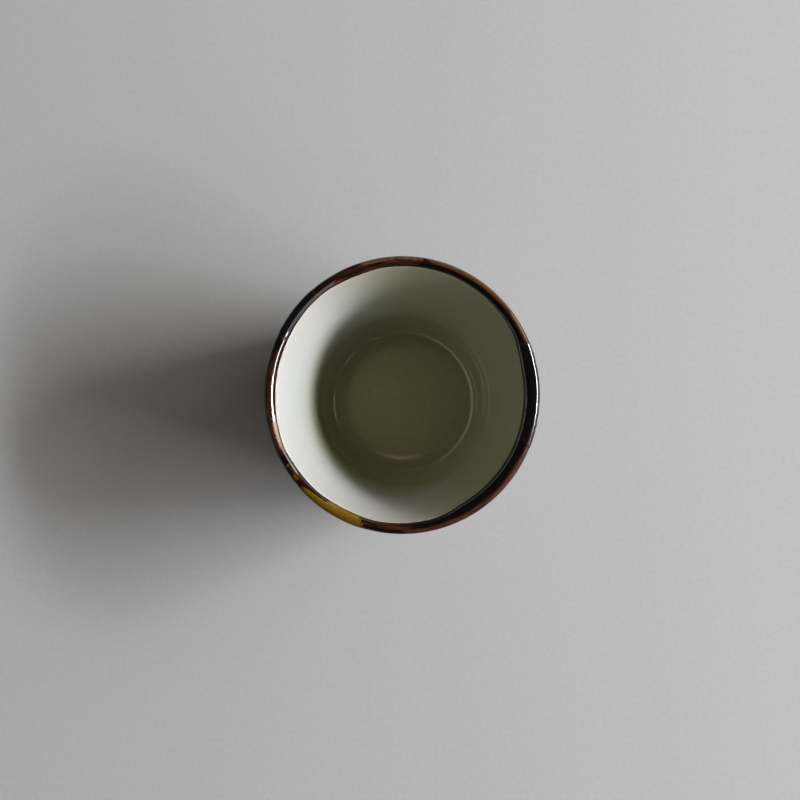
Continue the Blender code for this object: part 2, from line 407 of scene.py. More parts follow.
def throwing(angle, length):
    """How far the throwing lines stand off the plain section."""
    lift = 0
    for height, depth, width in INNER_LINES:
        place = inner_length(FLOOR_HEIGHT + height * MM) + LINE_SWAY * np.sin(angle + height)
        uneven = 0.8 + 0.3 * np.sin(angle - height)
        lift = lift - depth * MM * bump(length - place, width * MM) * uneven
    lift = lift - INNER_BEVEL * bump(length - LIP_TOP + LIP_FACET, FACET_WIDTH)
    lift = lift - OUTER_BEVEL * bump(length - LIP_TOP - LIP_FACET, FACET_WIDTH)
    outside = smooth(length, END["lip_outer"] + RINGS_FROM, END["lip_outer"] + RINGS_FULL)
    outside = outside * (1 - smooth(length, START["shoulder"] - RINGS_FADE, START["shoulder"]))
    return lift + OUTER_RING_HEIGHT * outside * np.cos(2 * np.pi * length / OUTER_PITCH - angle)


def on_cup(angle, length, lift):
    """Points on the cup, at an angle round it, a length along its section and a lift off the clay."""
    lift = lift + throwing(angle, length)
    radius, height = (np.interp(length, walked, section[:, k]) for k in (0, 1))
    out, up = (np.interp(length, walked, section_normals[:, k]) for k in (0, 1))
    radius, height = radius + lift * out, height + lift * up
    share = height / HEIGHT
    flat = FLAT_SIDE * bump(off_angle(angle, FLAT_MIDDLE), FLAT_WIDTH)
    radius = radius * (1 + share * (OVAL * np.cos(2 * (angle - OVAL_TURN)) - flat))
    height = height + LIP_WAVE * share**LIP_WAVE_POWER * wander(angle, 0, seed=2)
    return np.stack((radius * np.cos(angle), radius * np.sin(angle), height), -1)


print(len(INNER_LINES), "finger lines inside, a ring every", round(OUTER_PITCH / MM), "mm outside")

# %% [markdown]
# ## Meshes from rows
# A turned pot suggests a screw modifier, but a coat's edge rises and falls as it goes round. So a coat
# is a grid of points, angle by angle and row by row. Its rows go along its face and home along its
# back, inside the clay, so the coat is a closed shell. A coat that reaches the middle of a floor ends
# in one point there. A run of glaze covers only part of the turn, so its grid has sides instead.

# %% Turn a grid of points into a closed mesh
def grid_quads(first, second, wrap_first, wrap_second):
    """Corner numbers of every quad in a grid of points."""
    rows = np.arange(first - (not wrap_first))
    columns = np.arange(second - (not wrap_second))
    i, j = np.meshgrid(rows, columns, indexing="ij")
    near, far = i * second, (i + 1) % first * second
    on = (j + 1) % second
    return np.stack((near + j, far + j, far + on, near + on), -1).reshape(-1, 4)


def make_piece(name, points, faces, material, node, marks):
    """A smooth closed mesh that rides on the cup and stands for a solid.

    Marks are numbers kept on its points, for its material to read.
    """
    mesh = bpy.data.meshes.new(name)
    mesh.from_pydata(points.tolist(), [], faces)
    for mark, values in marks.items():
        kept = mesh.attributes.new(mark, "FLOAT", "POINT")
        kept.data.foreach_set("value", np.ravel(values).astype(np.float32))
    shape = bmesh.new()
    shape.from_mesh(mesh)
    bmesh.ops.recalc_face_normals(shape, faces=shape.faces)
    open_edges = sum(not edge.is_manifold for edge in shape.edges)
    shape.to_mesh(mesh)
    shape.free()
    mesh.shade_smooth()
    mesh.materials.append(material)
    piece = bpy.data.objects.new(name, mesh)
    bpy.context.scene.collection.objects.link(piece)
    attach(piece, "root")
    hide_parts(node)
    print(f"{name}: {len(mesh.polygons)} faces, {open_edges} open edges")


print("two by two points make", len(grid_quads(2, 2, False, False)), "quad")

# %% Close a coat all the way round
TURN = np.linspace(0, 2 * np.pi, 360, endpoint=False)[:, None]
ON_AXIS = 1e-9


def turned_coat(name, length, lift, material, node, marks):
    """A coat all the way round. A first or last row that lies on the axis becomes one point."""
    angle, length = np.broadcast_arrays(TURN, length)
    points = on_cup(angle, length, lift)
    marks = {mark: np.broadcast_to(values, angle.shape) for mark, values in marks.items()}
    poles = [j for j in (0, -1) if np.hypot(*points[0, j, :2]) < ON_AXIS]
    keep = slice(1 if 0 in poles else None, -1 if -1 in poles else None)
    ring = points[:, keep]
    count, rows = ring.shape[:2]
    faces = grid_quads(count, rows, True, len(poles) < 2).tolist()
    for pole, j in enumerate(poles):
        edge = np.arange(count) * rows + (rows - 1) * (j == -1)
        faces += [[count * rows + pole, int(a), int(b)] for a, b in zip(edge, np.roll(edge, -1))]
    points = np.vstack((ring.reshape(-1, 3), points[0, poles]))
    marks = {mark: np.append(values[:, keep], values[0, poles]) for mark, values in marks.items()}
    make_piece(name, points, faces, material, node, marks)


print(len(TURN), "angles round the cup")

# %% [markdown]
# ## Where the coats end
# The amber glaze was dipped over the lip, so inside it ends in a wavering edge just below it: deep on
# one side, where the cup was tilted and the glaze hangs in a fat roll, and hardly past the rounding on
# the other. Outside it stops above the foot, so the cup doesn't stick to the kiln shelf.
# Cutting the coat with a wavy tool would leave sharp edges. Here the two edges are functions of the
# angle, and the lift of the amber's face rolls down at each of them, as a thick liquid does.

# %% The amber coat's edges
GLAZE_LINE = 3.0 * MM
GLAZE_LINE_WAVE = 0.7 * MM
# how far the amber reaches down inside the lip, in millimetres
REACH = 0.2
REACH_WAVE = 0.25
# middle and half width in degrees, and depth in millimetres, of each broad lobe that hangs lower
REACH_LOBES = [(-25, 62, 2.55), (165, 24, 1.2), (243, 10, 1.0), (113, 10, 0.9), (200, 14, -0.25)]
DEEP_FROM = 1.6 * MM
DEEP_FULL = 2.5 * MM


def zone(angle, low, high, soft=3):
    """1 between two angles in degrees, 0 outside, with a soft edge."""
    half = (high - low) / 2
    return 1 - smooth(np.abs(off_angle(angle, (low + high) / 2)), half - soft, half + soft)


def inner_edge(angle):
    """Where the amber ends inside the lip."""
    reach = REACH + REACH_WAVE * wander(angle, 0, seed=5)
    for middle, half_width, depth in REACH_LOBES:
        reach = reach + depth * np.exp(-((off_angle(angle, middle) / half_width) ** 4))
    return START["lip_inner"] - reach * MM


def lower_edge(angle):
    """Where the amber ends above the foot."""
    return START["shoulder"] - GLAZE_LINE + GLAZE_LINE_WAVE * wander(angle, 0, seed=1)


def deep_side(angle):
    """1 where the amber hangs deep inside the lip, 0 where it hardly passes it."""
    return smooth(START["lip_inner"] - inner_edge(angle), DEEP_FROM, DEEP_FULL)


reach = (START["lip_inner"] - inner_edge(TURN)) / MM
print(f"amber comes {reach.min():.1f} to {reach.max():.1f} mm down inside the lip")

# %% The amber coat's face
# A coat's back lies this far inside the clay, and its free edge dips just under the clay's face.
SUNK = -0.15 * MM
TUCK = 0.05 * MM
EDGE_ROLL = 0.9 * MM
FOOT_BEAD = 0.13 * MM
FOOT_BEAD_PLACE = 1.4 * MM
FOOT_BEAD_WIDTH = 0.9 * MM
INNER_ROLL = 0.5 * MM
INNER_DIP = 0.16 * MM
INNER_SWELL = 0.09 * MM
SWELL_ENDS = 2.5 * MM
HANGING = 1.0 * MM
# The hanging roll keeps its depth up to the first place, and is gone at the second, past the lip's top.
HANGING_FULL = -0.95 * MM
HANGING_ENDS = -0.25 * MM


def roll(distance, width):
    """The round shoulder of a liquid's edge: 0 at the edge, 1 from the width on."""
    return np.sqrt(1 - (1 - np.clip(distance / width, 0, 1)) ** 2)


def rolled_edge(distance):
    """Lift of a coat near its free edge."""
    return -TUCK + (COAT + TUCK) * roll(distance, EDGE_ROLL)


def amber_lift(angle, length):
    """Lift of the amber's face off the clay."""
    inside = length - inner_edge(angle)
    outside = lower_edge(angle) - length
    shoulder = roll(inside, INNER_ROLL)
    lift = rolled_edge(outside) + FOOT_BEAD * bump(outside - FOOT_BEAD_PLACE, FOOT_BEAD_WIDTH)
    lift = lift + INNER_SWELL * (1 - smooth(inside, INNER_ROLL, SWELL_ENDS)) - INNER_DIP * (1 - shoulder)
    hanging = (1 - smooth(length - LIP_TOP, HANGING_FULL, HANGING_ENDS)) * shoulder
    return lift + HANGING * deep_side(angle) * hanging


print(f"amber on the lip: {amber_lift(TURN, LIP_TOP).mean() / MM:.2f} mm thick")

# %% [markdown]
# ## Ash glaze
# The inside wears an ash glaze: pale grey on the wall, greener lower down, tan on the floor, and
# darkest where it ran together. Painted shade is mixed in: the inner wall that faces away from the
# window is greener and darker, the floor's dark edge is partly painted shade, most on its shaded
# side, and a line under the amber's roll is dark. Pale lines over the little steps and a pink arc
# on the floor are painted highlights.
# An image could hold all that, but it would fit only one cup. So the mesh carries marks, numbers on
# its points that say how much of each change there is, and the material lays its colours over one
# another by those marks.

# %% Ash glaze material
# A fired ash glaze is glassy, with a faint orange-peel skin and a few iron specks from the clay.
ASH_CLOUD = 9 * MM
ORANGE_PEEL = 1.6 * MM
PEEL_STRENGTH = 0.10
PEEL_DEPTH = 0.05 * MM
SPECK_SPACING = 5 * MM
SPECK_CORE = 0.175 * MM
SPECK_EDGE = 0.3 * MM
SPECK_DARKNESS = 0.8
# Only cells with a chance above this hold a speck.
SPECK_CHANCE = 0.93

ash_glaze, tree, shader, place = new_material("ash_glaze_dipped", roughness=0.06, ior=1.5)
amount = {
    mark: add(tree, "ShaderNodeAttribute", None, "Fac", attribute_name=mark)
    for mark in ("floor", "pooled_and_shaded", "fringe", "down", "painted_highlights", "crease_shade", "painted_arc_highlight", "dull")
}
cloud = add(tree, "ShaderNodeTexNoise", {"Vector": place, "Scale": 1 / ASH_CLOUD, "Detail": 3})
peel = add(tree, "ShaderNodeTexNoise", {"Vector": place, "Scale": 1 / ORANGE_PEEL, "Detail": 4})
broken = add(tree, "ShaderNodeMapRange", {"Value": peel, "From Min": 0.35, "From Max": 0.65})
fringe = add(tree, "ShaderNodeMath", {0: amount["fringe"], 1: broken}, operation="MULTIPLY")
cells = add(tree, "ShaderNodeTexVoronoi", {"Vector": place, "Scale": 1 / SPECK_SPACING}).node.outputs
disc = {"Value": cells["Distance"], "To Min": SPECK_DARKNESS, "To Max": 0.0}
disc.update({"From Min": SPECK_CORE / SPECK_SPACING, "From Max": SPECK_EDGE / SPECK_SPACING})
speck = add(tree, "ShaderNodeMapRange", disc)
chance = add(tree, "ShaderNodeSeparateColor", {"Color": cells["Color"]}, "Red")
rare = add(tree, "ShaderNodeMath", {0: chance, 1: SPECK_CHANCE}, operation="GREATER_THAN")
speck = add(tree, "ShaderNodeMath", {0: speck, 1: rare}, operation="MULTIPLY")
print("ash glaze patterns:", len(tree.nodes), "nodes")

# %% Colour and gloss of the ash glaze
tans = {"Factor": peel, "A": linear("#9b8f69"), "B": linear("#aca17a")}
tan = add(tree, "ShaderNodeMix", tans, "Result", data_type="RGBA")
colour = linear("#b9b9b1")
# Each colour covers those above it in the list by its share.
for share, over in [
    (cloud, linear("#c3c3bb")),
    # Greener lower down, where the glaze is thicker, and on the inner wall that faces away from the
    # window: partly glaze, partly painted shade.
    (amount["down"], linear("#9d9e82")),
    (amount["floor"], tan),
    # Darker at the floor's edge: partly glaze that ran together, partly painted shade, most on the shaded
    # side.
    (amount["pooled_and_shaded"], linear("#6d6440")),
    (fringe, linear("#c08a52")),
    # Pale lines where the little steps and finger lines would mirror the lit wall: painted highlights.
    (amount["painted_highlights"], linear("#b9b9b1")),
    # A dark line under the amber's fat roll: painted shade.
    (amount["crease_shade"], linear("#3a3220")),
    # A pale pink arc on the floor's ring: a painted highlight.
    (amount["painted_arc_highlight"], linear("#e6ccb4")),
    (speck, linear("#4c3a26")),
]:
    layer = {"Factor": share, "A": colour, "B": over}
    colour = add(tree, "ShaderNodeMix", layer, "Result", data_type="RGBA")
tree.links.new(colour, shader.inputs["Base Color"])
skin = add(tree, "ShaderNodeBump", {"Height": peel, "Strength": PEEL_STRENGTH, "Distance": PEEL_DEPTH})
tree.links.new(skin, shader.inputs["Normal"])
mirror = add(tree, "ShaderNodeMapRange", {"Value": amount["dull"], "To Min": 0.5, "To Max": 0.06})
tree.links.new(mirror, shader.inputs["Specular IOR Level"])
print("ash glaze:", len(tree.nodes), "nodes")

# %% [markdown]
# ## The liner
# This coat covers the inner floor and wall, and tucks under the amber. Next to the amber it stands in
# a fine bead with a warm fringe of bled iron. Under the amber's fat roll a dark line is painted
# where shade falls: painted shade. Over the sharp little steps pale lines are painted where they
# would mirror the lit wall: painted highlights. A stretch of the ring there is too dull to mirror
# the window.
# Even rows would need millions of faces to hold the finest of these lines. So the rows crowd together
# where the lines are: at the ring, in the cove and at the bead.

# %% Lay out the liner's rows
# share of the way up where each group of rows starts and ends, and how many rows it has
LINER_ROWS = [
    (0, 0.2, 9),
    (0.2, 0.27, 36),
    (0.27, 0.32, 54),
    (0.32, 0.46, 66),
    (0.46, 0.75, 44),
    (0.75, 0.95, 12),
    (0.95, 1, 22),
]
BACK_ROWS = 26
LINER_TUCK = 0.8 * MM
BEAD = 0.20 * MM
BEAD_WIDTH = 0.33 * MM
BEAD_DROP = 0.55 * MM
DEEP_DROP = 1.15 * MM

groups = [np.linspace(low, high, rows, endpoint=False) for low, high, rows in LINER_ROWS]
share = np.concatenate(groups + [[1]])
deep = deep_side(TURN)
end = inner_edge(TURN) + LINER_TUCK
face = share[None, :] * end
back = np.linspace(1, 0, BACK_ROWS)[None, :] * end
length = np.hstack((face, back))
below = inner_edge(TURN) - length
bead = below - BEAD_DROP - DEEP_DROP * deep
lift = COAT + BEAD * bump(bead, BEAD_WIDTH) * (1 - deep)
lift[:, face.shape[1]:] = SUNK
print(f"liner: {face.shape[1]} rows, {end.min() / MM:.1f} to {end.max() / MM:.1f} mm long")

# %% Mark where the liner's colour changes
# In the marks, angles are in degrees, and all other places and widths in millimetres.
FLOOR_RING = 18.4
level = np.interp(length, walked, section[:, 1]) / MM
above_floor = level - FLOOR_HEIGHT / MM
from_middle = np.interp(length, walked, section[:, 0]) / MM
brown_edge = FLOOR_RING + 5.5 * bump(off_angle(TURN, 0), 55)
# The dark edge of the floor is partly painted shade, strongest towards its shaded side.
uneven = 0.3 * (1 + 0.6 * np.cos(TURN - np.radians(150)))
pools_and_shade = smooth(from_middle, brown_edge - 2, brown_edge + 1.4) * (1 - smooth(level, 9, 20))
marks = {
    "floor": 1 - 0.6 * smooth(above_floor, 0.8, 2.5) - 0.4 * smooth(level, 9, 18),
    "pooled_and_shaded": uneven * pools_and_shade,
    "fringe": bump(below / MM - 0.1, 0.45) * (0.5 + 0.5 * wander(TURN, 0, seed=3)) * (1 - deep),
    # Under the amber's fat roll: painted shade.
    "crease_shade": 0.8 * bump(bead / MM, 0.5) * deep,
    # A pale arc on the floor's ring: a painted highlight.
    "painted_arc_highlight": 0.9 * bump(from_middle - FLOOR_RING, 0.55) * bump(off_angle(TURN, 266), 18),
    # The angle zone is the inner wall that lies in shade: painted shade.
    "down": np.maximum(1 - smooth(level, 12, 46), 0.9 * zone(TURN, -72, 114, 28)),
}
print("liner marks:", ", ".join(marks))

# %% Mark the liner's painted highlight lines and make it
# Pale lines are painted where the steps and finger lines would mirror the lit wall: painted highlights.
# from the middle and half width in millimetres, amount,
# first and last angle and soft edge in degrees, slant in millimetres per degree
PAINTED_HIGHLIGHT_LINES = [
    (27.4, 0.30, 0.55, -12, 38, 14, 0),
    (28.6, 0.35, 0.55, -12, 38, 14, 0),
    (23.4, 0.25, 0.70, -35, 32, 22, 0),
    (24.7, 0.20, 0.55, -8, 28, 8, 0),
    (22.9, 0.20, 0.90, 178, 194, 5, 0),
    (23.1, 0.18, 0.35, 137, 146, 4, 0),
    (22.925, 0.18, 0.80, 107.5, 120, 2.5, 0.1),
]
# first and last angle and soft edge in degrees, and amount, of each glossy stretch in the dull ring
GLINTS = [(177, 194, 5, 1), (137, 147, 5, 0.8), (160, 165, 3, 0.6)]

painted_highlights = 0
for radius, width, most, first, last, soft, slant in PAINTED_HIGHLIGHT_LINES:
    line = radius + slant * off_angle(TURN, (first + last) / 2)
    painted_highlights = painted_highlights + most * bump(from_middle - line, width) * zone(TURN, first, last, soft)
glints = 0
for first, last, soft, most in GLINTS:
    glints = np.maximum(glints, most * zone(TURN, first, last, soft))
ring = (1 - smooth(above_floor, 1.5, 3)) * smooth(from_middle, 18, 20.5)
marks["painted_highlights"] = painted_highlights
marks["dull"] = 0.85 * (1 - glints) * zone(TURN, 116, 216, 4) * ring
turned_coat("liner_glaze_coat", length, lift, ash_glaze, "liner_glaze", marks)

# %% [markdown]
# ## Iron glaze
# Iron makes this glaze red-brown, amber where it ran thin and almost black where it is thick. Round
# the lip it breaks into gold, rust, khaki and tan, drawn out in lines along the rim, and one stretch is
# satin instead of glossy. On the outer wall it streaks downwards.
# One noise can't run in two directions, so each colour has a pattern of its own. The pattern decides
# where that colour breaks through first as its mark grows.

# %% Iron glaze material
# A fired iron glaze is glassy and deep, with streaks that follow the way it ran.
# The finest streaks are hair-thin on a real cup. They are drawn coarser here, so that they show.
DOWN_STRETCH = (1, 1, 0.08)
ROUND_STRETCH = (0.12, 0.12, 0)

iron_glaze, tree, shader, place = new_material("iron_glaze_dipped", roughness=0.07, ior=1.52)
amount = {
    mark: add(tree, "ShaderNodeAttribute", None, "Fac", attribute_name=mark)
    for mark in ("amber", "gold", "rust", "khaki", "tan", "black", "splash", "satin", "across", "outside")
}
ran_down = add(tree, "ShaderNodeVectorMath", {0: place, 1: DOWN_STRETCH}, operation="MULTIPLY")
lip = add(tree, "ShaderNodeCombineXYZ", {"Z": amount["across"]})
stretched = {0: place, 1: ROUND_STRETCH, 2: lip}
ran_round = add(tree, "ShaderNodeVectorMath", stretched, operation="MULTIPLY_ADD")
# name, the place it hangs on, size in millimetres
pattern = {
    name: add(tree, "ShaderNodeTexNoise", {"Vector": where, "Scale": 1 / (size * MM), "Detail": 3})
    for name, where, size in [
        ("streaks", ran_down, 1.2),
        ("lines", ran_round, 0.7),
        ("patches", place, 1.8),
        ("peel", place, 0.9),
        ("clouds", place, 9),
    ]
}
print("iron glaze patterns:", ", ".join(pattern))

# %% Colour and gloss of the iron glaze
BREAKING_ENDS = (0.85, 1.2)


def breaking(tree, amount, pattern, low, high):
    """The share of a colour, which breaks through first where the pattern is high."""
    shifted = add(tree, "ShaderNodeMath", {0: amount, 1: pattern}, operation="ADD")
    ends = {"Value": shifted, "From Min": low, "From Max": high}
    return add(tree, "ShaderNodeMapRange", ends, interpolation_type="SMOOTHSTEP")


flows = {"Factor": amount["outside"], "A": pattern["lines"], "B": pattern["clouds"]}
flow = add(tree, "ShaderNodeMix", flows)
red = add(tree, "ShaderNodeMapRange", {"Value": flow, "From Min": 0.40, "From Max": 0.80})
browns = {"Factor": red, "A": linear("#150704"), "B": linear("#462317")}
colour = add(tree, "ShaderNodeMix", browns, "Result", data_type="RGBA")
share = {}
for mark, breaks_by, over in [
    ("amber", "streaks", "#5c3416"),
    ("gold", "lines", "#452a14"),
    ("rust", "lines", "#3d1e0f"),
    ("khaki", "patches", "#5e4630"),
    ("tan", "peel", "#7c6048"),
    # The black mark also holds painted shade on the inner side of the lip.
    ("black", "lines", "#070403"),
    ("splash", "patches", "#5c4610"),
]:
    share[mark] = breaking(tree, amount[mark], pattern[breaks_by], *BREAKING_ENDS)
    layer = {"Factor": share[mark], "A": colour, "B": linear(over)}
    colour = add(tree, "ShaderNodeMix", layer, "Result", data_type="RGBA")
tree.links.new(colour, shader.inputs["Base Color"])
# The satin stretch is rougher and mirrors less, and the tan is as rough.
dull = add(tree, "ShaderNodeMath", {0: share["tan"], 1: amount["satin"]}, operation="MAXIMUM")
dry = add(tree, "ShaderNodeMapRange", {"Value": dull, "To Min": 0.07, "To Max": 0.45})
tree.links.new(dry, shader.inputs["Roughness"])
mirror = add(tree, "ShaderNodeMapRange", {"Value": amount["satin"], "To Min": 0.5, "To Max": 0.15})
tree.links.new(mirror, shader.inputs["Specular IOR Level"])
peel = {"Height": pattern["peel"], "Strength": PEEL_STRENGTH, "Distance": PEEL_DEPTH}
tree.links.new(add(tree, "ShaderNodeBump", peel), shader.inputs["Normal"])
print("iron glaze:", len(tree.nodes), "nodes")

# %% [markdown]
# ## The amber coat
# This coat hangs over the lip and runs down to just above the foot. Its patches of colour each lie
# between two angles round the lip, and fade a little way down the outside.
# They could be painted on as a mask, but a table with a line for each patch is easier to tune. The
# angles waver on their way across the lip, so no patch ends in a straight cut.

# %% Lay out the amber coat's rows
OVER_ROWS = 44
DOWN_ROWS = 120
BACK_STEP = 4


def eased(count):
    """Shares from 0 to 1 that lie closest together at both ends."""
    return (0.5 - 0.5 * np.cos(np.pi * np.linspace(0, 1, count)))[None, :]


over = np.linspace(0, 1, OVER_ROWS)[None, :]
face = np.hstack((
    inner_edge(TURN) + over * (LIP_TOP - inner_edge(TURN)),
    LIP_TOP + eased(DOWN_ROWS)[:, 1:] * (lower_edge(TURN) - LIP_TOP),
))
length = np.hstack((face, face[:, ::-BACK_STEP]))
lift = amber_lift(TURN, length)
lift[:, face.shape[1]:] = SUNK
past_top = (length - LIP_TOP) / MM
print(f"amber: {face.shape[1]} rows, {past_top.min():.1f} to {past_top.max():.1f} mm past the lip's top")

# %% Mark the patches on the lip
RAGGED = np.radians(1.6)
# A patch that rises further in than any row covers the inner side of the lip too.
EVEN_INSIDE = (-20, -19)
LIP_ONLY = (1.5, 9)
# mark, amount, first and last angle and soft edge in degrees,
# where it rises and where it fades in millimetres past the lip's top
LIP_PATCHES = [
    ("gold", 0.66, 24, 82, 5, EVEN_INSIDE, LIP_ONLY),
    ("gold", 0.60, 162, 204, 8, (-0.2, 0.3), LIP_ONLY),
    ("khaki", 0.62, 80, 108, 4, (-0.1, 0.35), LIP_ONLY),
    ("tan", 0.80, 189, 208, 8, EVEN_INSIDE, (-0.3, 0.5)),
    ("satin", 1.00, -100, -17, 5, (-0.2, 0.5), LIP_ONLY),
    ("black", 0.90, 207, 213, 3, EVEN_INSIDE, (2, 6)),
    ("black", 0.80, -108, -89, 3, (0, 0.5), (1, 4)),
    ("black", 0.75, 126, 162, 5, EVEN_INSIDE, (1.5, 5)),
]

ragged = TURN + RAGGED * wander(2 * TURN, 1.6 * past_top, seed=7)
marks = {}
for mark, most, first, last, soft, rises, fades in LIP_PATCHES:
    patch = most * zone(ragged, first, last, soft)
    patch = patch * smooth(past_top, *rises) * (1 - smooth(past_top, *fades))
    marks[mark] = np.maximum(marks.get(mark, 0), patch)
marks["rust"] = 0.62 * marks["satin"] * (1 - smooth(past_top, 1, 4))
print("lip patches:", ", ".join(marks))

# %% Mark the rest of the amber coat and make it
# On the half towards the window the inner side of the lip lies in shade, and is painted black up
# to a wavering line: painted shade. The very edge is black all round.
line = -0.1 + 0.25 * zone(ragged, 24, 82, 8) + 0.2 * wander(TURN, 0, seed=8)
shaded_inner_side = (1 - smooth(past_top, line - 0.45, line + 0.45)) * zone(ragged, -86, 84)
inner_line = 0.75 * bump((length - inner_edge(TURN)) / MM - 0.3, 0.3)
marks["black"] = np.maximum(marks["black"], np.maximum(shaded_inner_side, inner_line))
# Two drops of yellow fell beside the splash.
drops = np.maximum(zone(TURN, 215.6, 219.6, 1.2), 0.9 * zone(TURN, 211, 213, 1.2))
marks["splash"] = 0.7 * drops * bump(past_top - 0.2, 0.5)
# Outside, the amber shows most near the lip and on the ridges of the throwing rings.
ridge = np.cos(2 * np.pi * length / OUTER_PITCH - TURN)
fade = smooth(past_top + 6 * wander(TURN, 0, seed=12), 2, 36)
drift = wander(TURN, 0.05 * past_top, seed=9)
marks["amber"] = smooth(past_top, 0.6, 3) * (0.66 - 0.46 * fade + 0.06 * ridge + 0.12 * drift)
# These two tell the material how far across the lip a point is, and where the outer wall begins.
marks["across"] = np.clip(past_top, -4, 4) * MM
marks["outside"] = smooth(past_top, 1.0, 5.0)
turned_coat("amber_glaze_coat", length, lift, iron_glaze, "amber_glaze", marks)

# %% [markdown]
# ## Black and yellow glaze
# The poured glazes are thick and opaque in their middle, and let the coat beneath show where they thin
# out. Layers of real transparency would be slow and hard to steer, so a mark says how well the glaze
# covers, and the colour of a thin coat is mixed in where it covers badly.

# %% Black glaze material
# Black iron glaze is mirror smooth. It breaks to rust, and turns satin, where it thins out on the lip.
POUR_PATCH = 1.8 * MM
COVER_ENDS = (0.55, 1.05)

black_glaze, tree, shader, place = new_material("black_iron_glaze_poured", roughness=0.05, ior=1.62)
cover = add(tree, "ShaderNodeAttribute", None, "Fac", attribute_name="cover")
satin = add(tree, "ShaderNodeAttribute", None, "Fac", attribute_name="satin")
patches = add(tree, "ShaderNodeTexNoise", {"Vector": place, "Scale": 1 / POUR_PATCH, "Detail": 4})
blacks = {"Factor": patches, "A": linear("#060507"), "B": linear("#0c0908")}
thick = add(tree, "ShaderNodeMix", blacks, "Result", data_type="RGBA")
share = breaking(tree, cover, patches, *COVER_ENDS)
thinning = {"Factor": share, "A": linear("#2c1209"), "B": thick}
colour = add(tree, "ShaderNodeMix", thinning, "Result", data_type="RGBA")
tree.links.new(colour, shader.inputs["Base Color"])
dry = add(tree, "ShaderNodeMapRange", {"Value": satin, "To Min": 0.05, "To Max": 0.40})
tree.links.new(dry, shader.inputs["Roughness"])
mirror = add(tree, "ShaderNodeMapRange", {"Value": satin, "To Min": 0.5, "To Max": 0.12})
tree.links.new(mirror, shader.inputs["Specular IOR Level"])
print("black glaze:", len(tree.nodes), "nodes")

# %% Yellow glaze material
# Yellow glaze is opaque and a little dry, with brown showing through where it is thin.
YELLOW_STREAK = 0.8 * MM
YELLOW_STRETCH = (0.35, 1, 1)

yellow_glaze, tree, shader, place = new_material("yellow_glaze_poured", roughness=0.25, ior=1.5)
cover = add(tree, "ShaderNodeAttribute", None, "Fac", attribute_name="cover")
patches = add(tree, "ShaderNodeTexNoise", {"Vector": place, "Scale": 1 / POUR_PATCH, "Detail": 4})
ran = add(tree, "ShaderNodeVectorMath", {0: place, 1: YELLOW_STRETCH}, operation="MULTIPLY")
streaks = add(tree, "ShaderNodeTexNoise", {"Vector": ran, "Scale": 1 / YELLOW_STREAK, "Detail": 4})
yellows = {"Factor": streaks, "A": linear("#402e02"), "B": linear("#785904")}
thick = add(tree, "ShaderNodeMix", yellows, "Result", data_type="RGBA")
share = breaking(tree, cover, patches, *COVER_ENDS)
thinning = {"Factor": share, "A": linear("#3a240c"), "B": thick}
colour = add(tree, "ShaderNodeMix", thinning, "Result", data_type="RGBA")
tree.links.new(colour, shader.inputs["Base Color"])
print("yellow glaze:", len(tree.nodes), "nodes")

# %% [markdown]
# ## The three pours
# Three ladles of glaze were tipped over the lip: two black, one yellow. Each ran down the outside as a
# tongue, thick in its middle, thin at its sides and swollen at its lower end.
# A fluid simulation could make them, but a formula is easier to steer. A pour is a pillow on the amber
# face, and its rim dips just under that face, so the two glazes meet in a clean melted line.

# %% How a pour runs
POUR_THICKNESS = 0.26 * MM
POUR_TUCK = 0.04 * MM
POUR_START = 0.6 * MM
TONGUE_POWER = 2.6
SIDE_SWAY = np.radians(2.0)
COLUMNS = 121
ROWS = 110


def pillow(angle, past_top, side, from_top, to_end, tongue):
    """Thickness of a pour as a share: round at its edges, thin on the lip, swollen at its end."""
    outside = smooth(past_top, 2, 8)
    swell = 0.4 + 0.6 * outside + 0.9 * bump(to_end - 2.5, 2.2) * tongue
    swell = swell + 0.3 * bump(past_top - 0.65, 0.25)
    swell = swell + 0.10 * wander(4 * angle, 0.06 * past_top, seed=10) * outside
    return swell * roll(side, 1.6) * roll(from_top, 0.5) * roll(to_end, 1.5)


